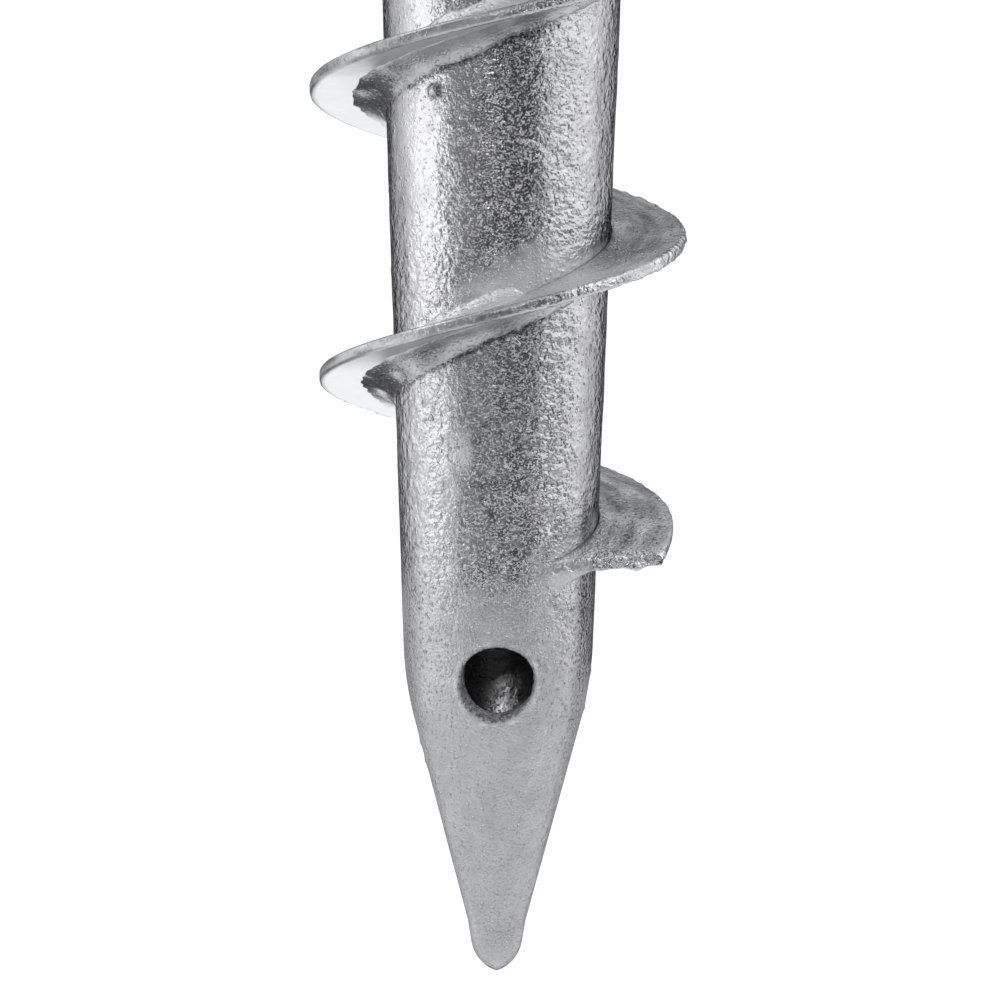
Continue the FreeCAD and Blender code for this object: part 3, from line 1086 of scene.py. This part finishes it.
def flight_shades(points, normals):
    """Masks of the flight: undersides painted paler and tops painted darker for the light that they
    reflect, its dull tops and rim, and lengths for its streaks.
    """
    away = beyond_shaft(points)
    turn = flight_turn(points)
    azimuth = azimuth_on_flight(turn)
    rim = ramp(away - flight_width + 0.9, 0, 0.5)
    under = np.clip(-1.6 * normals[:, 2], 0, 1) * (1 - rim)
    crust = flight_crust(points)
    # A painted lit patch on the front of the plate's top.
    lit_front = band(azimuth, *lit_flight_span) * (1 - under) * (1 - rim)
    in_front = band(azimuth, *front_flight_span)
    blotch = weld_blotch(azimuth, points) * under * ramp(8 - away, 0, 4)
    rim_streaks = streaks_along(turn, points[:, 2] - flight_height(turn), 14, 0.6, 41)
    top_streaks = streaks_along(turn, away, 16, 2.5, 42)
    rim_stain = 0.75 * rim * (1 - 0.8 * crust) * np.clip(0.4 + 2.2 * rim_streaks, 0, 1)
    # The plate's tops are painted darker, in streaks, save in the painted lit patch.
    top_shade = (1 - under) * (1 - rim) * (1 - 0.8 * lit_front)
    top_shade *= np.clip(0.3 + 0.6 * top_streaks, 0, 1)
    # Painted shade in the groove where the plate's top meets the shaft.
    root_shade = 0.5 * (away < 0.5) * (1 - under)
    return {
        "dull": np.clip(0.65 - 0.25 * under - 0.85 * crust, 0, 1),
        "sheen": np.maximum(under * (1 - 0.5 * in_front), 0.6 * lit_front), "crust": crust,
        # Undersides painted paler and the lit patch painted light; the crust is paler zinc.
        "pale": np.maximum.reduce([under * (1 - 0.4 * in_front), 0.75 * lit_front, 0.45 * crust]),
        "stain": np.clip(rim_stain + top_shade + root_shade + 1.8 * blotch, 0, 1.8),
        "sand": (1 - under) * (1 - 0.75 * rim), "grit": (0.6 - 0.5 * rim) * (1 - under),
        "patina": np.maximum(0.5 * lit_front, 0.6 * under * in_front),
        "across": away, "along": (turn - flight_start_angle) * streak_mm_per_degree}


def weld_relief(points):
    """Lumpy weld metal under zinc."""
    return layered(points, weld_lumps)


def weld_blotch(angle, points):
    """Dark patches of ragged outline under the flight, on the shaft's left side."""
    return band(angle, *stained_weld_span) * patches(points, 1.0, 1.5, 6.0, 35)


def weld_shades(points, normals):
    """Masks of the weld under the flight: dark stains in blotches, and undersides painted paler at
    the sides and back.
    """
    angle = azimuth_of(points)
    blotch = weld_blotch(angle, points)
    under = np.clip(-1.6 * normals[:, 2], 0, 1)
    in_front = band(angle, *front_weld_span)
    near_lead = ramp(45 + flight_start_angle - flight_turn(points), 0, 20)
    lumpy = np.clip(0.12 + 1.2 * lumps(points, 7.0, 39), 0, 0.7)
    return {
        "stain": 2.0 * blotch * under + in_front * (1 - near_lead) * lumpy,
        "sheen": under * (1 - 0.4 * in_front) * (1 - 0.6 * near_lead) * (1 - blotch),
        # Undersides painted paler at the sides and back, as on the flight.
        "pale": 0.4 * under * (1 - in_front), "patina": 0.4 * under * in_front,
        "sand": np.full(len(points), 0.5)}


def top_weld_shades(points, normals):
    """Masks of the welds on top of the flight, painted paler than the plate in front, with a painted
    highlight near their middle.
    """
    angle = azimuth_of(points)
    in_front = band(angle, *front_weld_span)
    return {
        # Painted light in front, peaking in a painted highlight round angle 3.
        "pale": in_front * (0.5 + 0.5 * np.exp(-((angle - 3) / 8) ** 2)),
        "dull": 1 - 0.4 * in_front, "sheen": in_front,
        "patina": 0.4 * in_front, "sand": np.full(len(points), 0.6)}


def plain_shades(points, normals):
    """No masks."""
    return {}


# Materials

def empty_material(name):
    """A new material and its node tree, which has no nodes yet."""
    material = bpy.data.materials.new(name)
    material.use_nodes = True
    material.node_tree.nodes.clear()
    return material, material.node_tree


def shader_node(tree, kind, inputs=(), **settings):
    """Adds a node, sets its settings, and sets or links its inputs by name."""
    node = tree.nodes.new(kind)
    for key, value in settings.items():
        setattr(node, key, value)
    for key, value in dict(inputs).items():
        if isinstance(value, bpy.types.NodeSocket):
            tree.links.new(value, node.inputs[key])
        else:
            node.inputs[key].default_value = value
    return node


def noise_at(tree, coordinates, size, detail=2.0, roughness=0.5):
    """A noise texture with features of a size in millimetres."""
    node = shader_node(
        tree, "ShaderNodeTexNoise",
        {"Vector": coordinates, "Scale": 1000 / size, "Detail": detail, "Roughness": roughness})
    return node.outputs["Fac"]


def mapped(tree, value, from_low, from_high, low=0, high=1, kind="LINEAR"):
    """Maps a value's range to low and high, which may be numbers or sockets."""
    node = shader_node(tree, "ShaderNodeMapRange", {
        "Value": value, "From Min": from_low, "From Max": from_high, "To Min": low, "To Max": high},
        interpolation_type=kind)
    return node.outputs["Result"]


def spread(tree, value, low, high):
    """Maps the middle of a noise's range to low and high."""
    return mapped(tree, value, 0.3, 0.7, low, high)


def bumped(tree, height, depth, normal=None, strength=1.0):
    """A bump of a depth in millimetres on top of another normal."""
    inputs = {"Height": height, "Distance": depth / 1000, "Strength": strength}
    if normal is not None:
        inputs["Normal"] = normal
    return shader_node(tree, "ShaderNodeBump", inputs).outputs["Normal"]


def painted(tree, name):
    """A mask that the piece carries, or nothing where it has none."""
    return shader_node(tree, "ShaderNodeAttribute", attribute_name=name).outputs["Fac"]


def scaled(tree, value, low, high):
    """Maps a mask from 0 and 1 to low and high."""
    return mapped(tree, value, 0, 1, low, high)


def reckoned(tree, operation, one, two):
    """Two values added, multiplied or otherwise reckoned into one."""
    return shader_node(tree, "ShaderNodeMath", {0: one, 1: two}, operation=operation).outputs[0]


def blend(tree, share, one, two):
    """Two colours mixed; each is a colour's three numbers or a socket."""
    node = shader_node(tree, "ShaderNodeMix", {"Factor": share}, data_type="RGBA")
    for key, value in (("A", one), ("B", two)):
        if isinstance(value, bpy.types.NodeSocket):
            tree.links.new(value, node.inputs[key])
        else:
            node.inputs[key].default_value = (*value, 1)
    return node.outputs["Result"]


def raised_parts(tree, coordinates, size, low, high):
    """A noise of which only the highest parts stand out, from nothing at low to all at high."""
    return mapped(tree, noise_at(tree, coordinates, size, 1.0), low, high)


def zinc_colour(tree, coordinates, dark, light, speckle):
    """Mottled zinc, made paler and darker where the piece's masks say so, for stains and paler zinc
    as well as painted light and shade.
    """
    mottle = spread(tree, noise_at(tree, coordinates, mottle_size, 6.0, 0.65), 0, 1)
    colour = blend(tree, mottle, dark, light)
    colour = blend(tree, scaled(tree, painted(tree, "pale"), 0, pale_share), colour, pale_zinc_and_painted_light)
    grain = spread(tree, noise_at(tree, coordinates, stain_grain_size, 2.0, 0.7), 0, 1)
    stain = reckoned(tree, "MULTIPLY", painted(tree, "stain"), scaled(tree, grain, *speckle))
    return blend(tree, stain, colour, stain_and_shade_colour)


def zinc_gloss(tree, coordinates, roughness, dull_roughness, flecks):
    """Uneven roughness, higher where the zinc is hazy or dull, low on its flecks."""
    even = spread(tree, noise_at(tree, coordinates, gloss_patch_size, 3.0), *roughness)
    haze = scaled(tree, painted(tree, "haze"), 0, haze_roughness)
    hazy = reckoned(tree, "ADD", even, haze)
    gloss = scaled(tree, painted(tree, "dull"), hazy, dull_roughness)
    shiny = reckoned(tree, "MULTIPLY", flecks, painted(tree, "sand"))
    return scaled(tree, shiny, gloss, fleck_roughness)


def zinc_bumps(tree, coordinates, bumps, flecks, streaks):
    """Layers of bumps, each as strong as its mask, then specks, flecks and streaks."""
    normal = None
    for size, depth, mask in bumps:
        strength = painted(tree, mask) if mask else 1.0
        normal = bumped(tree, noise_at(tree, coordinates, size, 1.0), depth, normal, strength)
    specks = raised_parts(tree, coordinates, speck_size, *speck_range)
    normal = bumped(tree, specks, speck_depth, normal, painted(tree, "grit"))
    normal = bumped(tree, flecks, fleck_depth, normal, painted(tree, "sand"))
    if streaks:
        lengths = shader_node(tree, "ShaderNodeCombineXYZ", {
            "X": scaled(tree, painted(tree, "across"), 0, 1 / 1000),
            "Y": scaled(tree, painted(tree, "along"), 0, streak_stretch / 1000)}).outputs["Vector"]
        normal = bumped(tree, noise_at(tree, lengths, streak_size, 3.0), streaks, normal)
    return normal


def zinc_material(
        name, dark, light, roughness, dull_roughness, edge_tint, bumps, speckle=(0.2, 1.5),
        streaks=0.0):
    """Galvanised steel: mottled metallic grey with uneven gloss and layers of fine bumps."""
    material, tree = empty_material(name)
    coordinates = tree.nodes.new("ShaderNodeTexCoord").outputs["Object"]
    flecks = raised_parts(tree, coordinates, fleck_size, *fleck_range)
    shader = shader_node(tree, "ShaderNodeBsdfPrincipled", {
        "Base Color": zinc_colour(tree, coordinates, dark, light, speckle),
        "Roughness": zinc_gloss(tree, coordinates, roughness, dull_roughness, flecks),
        "Metallic": scaled(tree, painted(tree, "patina"), 1.0, patina_metallic),
        "Specular Tint": scaled(tree, painted(tree, "sheen"), edge_tint, 1.0),
        "Normal": zinc_bumps(tree, coordinates, bumps, flecks, streaks)})
    shader_node(tree, "ShaderNodeOutputMaterial", {"Surface": shader.outputs["BSDF"]})
    return material


# Each bump is a size, a depth and the mask that it is as strong as, or none
tube_zinc = zinc_material(
    "tube_zinc", dark=(0.49, 0.49, 0.503), light=(0.66, 0.66, 0.672), roughness=(0.16, 0.26),
    dull_roughness=0.6, edge_tint=0.0,
    bumps=[(2.8, 0.2, "skin"), (1.9, 0.55, "peel"), (0.9, 0.12, "skin"), (0.7, 0.28, "sand")])
plate_zinc = zinc_material(
    "plate_zinc", dark=(0.485, 0.49, 0.505), light=(0.665, 0.67, 0.685), roughness=(0.18, 0.3),
    dull_roughness=0.48, edge_tint=0.12, speckle=(0.6, 1.1), streaks=0.25,
    bumps=[(3.0, 0.1, None), (4.0, 0.5, "sand"), (0.8, 0.4, "sand"), (1.2, 0.6, "crust")])
weld_zinc = zinc_material(
    "weld_zinc", dark=(0.525, 0.53, 0.545), light=(0.685, 0.69, 0.705), roughness=(0.36, 0.48),
    dull_roughness=0.5, edge_tint=0.3,
    bumps=[(1.6, 0.15, None), (0.8, 0.3, "sand")])


# Pieces

skin_piece(
    "shaft_skin", shaft_skin_shape(), shaft_relief, shaft_shades, tube_zinc, ["shaft_tube"])
skin_piece(
    "flight_skin", flight_shape(), flight_relief, flight_shades, plate_zinc, ["helical_flight"])
skin_piece(
    "under_weld_skin",
    joined([
        weld_shape(
            flight_start_angle, flight_end_angle(), -1, under_weld_skin_plate_leg,
            weld_skin_growth * under_weld_leg, 1, 3.0, 3.0),
        lead_fairing_shape()]),
    weld_relief, weld_shades, weld_zinc, ["flight_weld_under"])
skin_piece(
    "top_weld_skin", top_weld_shape(), weld_relief, top_weld_shades, weld_zinc, ["flight_weld_top"])
skin_piece(
    "saddle_weld_skin", saddle_weld_shape(), weld_relief, plain_shades, weld_zinc, ["saddle_weld"])

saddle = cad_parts["post_saddle"]
saddle.data.materials.clear()
saddle.data.materials.append(plate_zinc)


# Studio

def floor_material():
    """A pale floor that is lit and takes shadows, and glows white to the camera and in metal."""
    material, tree = empty_material("pale_floor")
    path = tree.nodes.new("ShaderNodeLightPath")
    seen = path.outputs["Is Camera Ray"]
    for kind in ("Is Glossy Ray", "Is Transmission Ray"):
        seen = reckoned(tree, "MAXIMUM", seen, path.outputs[kind])
    glow = reckoned(tree, "MULTIPLY", seen, floor_glow)
    lit = shader_node(tree, "ShaderNodeBsdfDiffuse", {"Color": floor_colour}).outputs["BSDF"]
    white = shader_node(tree, "ShaderNodeEmission", {"Color": (1, 1, 1, 1), "Strength": glow})
    both = shader_node(tree, "ShaderNodeAddShader", {0: lit, 1: white.outputs["Emission"]})
    shader_node(tree, "ShaderNodeOutputMaterial", {"Surface": both.outputs["Shader"]})
    return material


def floor():
    """A wide floor under the anchor."""
    mesh = bpy.data.meshes.new("floor")
    reach = floor_half_size
    corners = [(-reach, -reach, 0), (reach, -reach, 0), (reach, reach, 0), (-reach, reach, 0)]
    mesh.from_pydata(corners, [], [(0, 1, 2, 3)])
    mesh.materials.append(floor_material())
    placed("floor", mesh)


def softbox(name, place, target, width, height, radiance):
    """A rectangular lamp of an even brightness that faces a target."""
    lamp = bpy.data.lights.new(name, "AREA")
    lamp.shape = "RECTANGLE"
    lamp.size = width
    lamp.size_y = height
    lamp.energy = radiance * math.pi * width * height
    piece = placed(name, lamp)
    piece.location = place
    piece.rotation_euler = (Vector(target) - Vector(place)).to_track_quat("-Z", "Y").to_euler()


def room():
    """The studio round the anchor: dark beside the camera, pale towards tip and head."""
    world = bpy.data.worlds.new("room")
    world.use_nodes = True
    tree = world.node_tree
    direction = tree.nodes.new("ShaderNodeTexCoord").outputs["Generated"]
    along = shader_node(tree, "ShaderNodeSeparateXYZ", {"Vector": direction}).outputs["Y"]
    tipward = mapped(tree, along, *tipward_fade, 0, tipward_glow, "SMOOTHSTEP")
    headward = mapped(tree, along, *headward_fade, room_glow, headward_glow, "SMOOTHSTEP")
    background = tree.nodes["Background"]
    tree.links.new(reckoned(tree, "ADD", tipward, headward), background.inputs["Strength"])
    background.inputs["Color"].default_value = room_tint
    scene.world = world


def photo_camera():
    """The photo's camera, looking down on the lower end of the anchor."""
    elevation = math.radians(camera_elevation)
    axis_point = lay @ Vector((0, 0, camera_aim_height))
    along = (lay.to_3x3() @ Vector((0, 0, 1))).normalized()
    front = (lay.to_3x3() @ Vector((0, -1, 0))).normalized()
    back = front * math.cos(elevation) + along * math.sin(elevation)
    roll = Matrix.Rotation(math.radians(camera_roll), 3, back)
    up = roll @ (along * math.cos(elevation) - front * math.sin(elevation))
    right = up.cross(back)
    pixel = frame_width / image_width
    shift = right * (image_width / 2 - aim_pixel[0]) - up * (image_width / 2 - aim_pixel[1])
    camera = bpy.data.cameras.new("photo_camera")
    camera.sensor_width = 36
    camera.lens = camera.sensor_width * camera_distance / frame_width
    piece = placed("photo_camera", camera)
    place = axis_point + back * camera_distance + shift * pixel
    turn = Matrix((right, up, back)).transposed().to_4x4()
    piece.matrix_world = Matrix.Translation(place) @ turn
    scene.camera = piece


floor()
room()
for softbox_values in softboxes:
    softbox(*softbox_values)
photo_camera()
scene.view_settings.view_transform = "Standard"
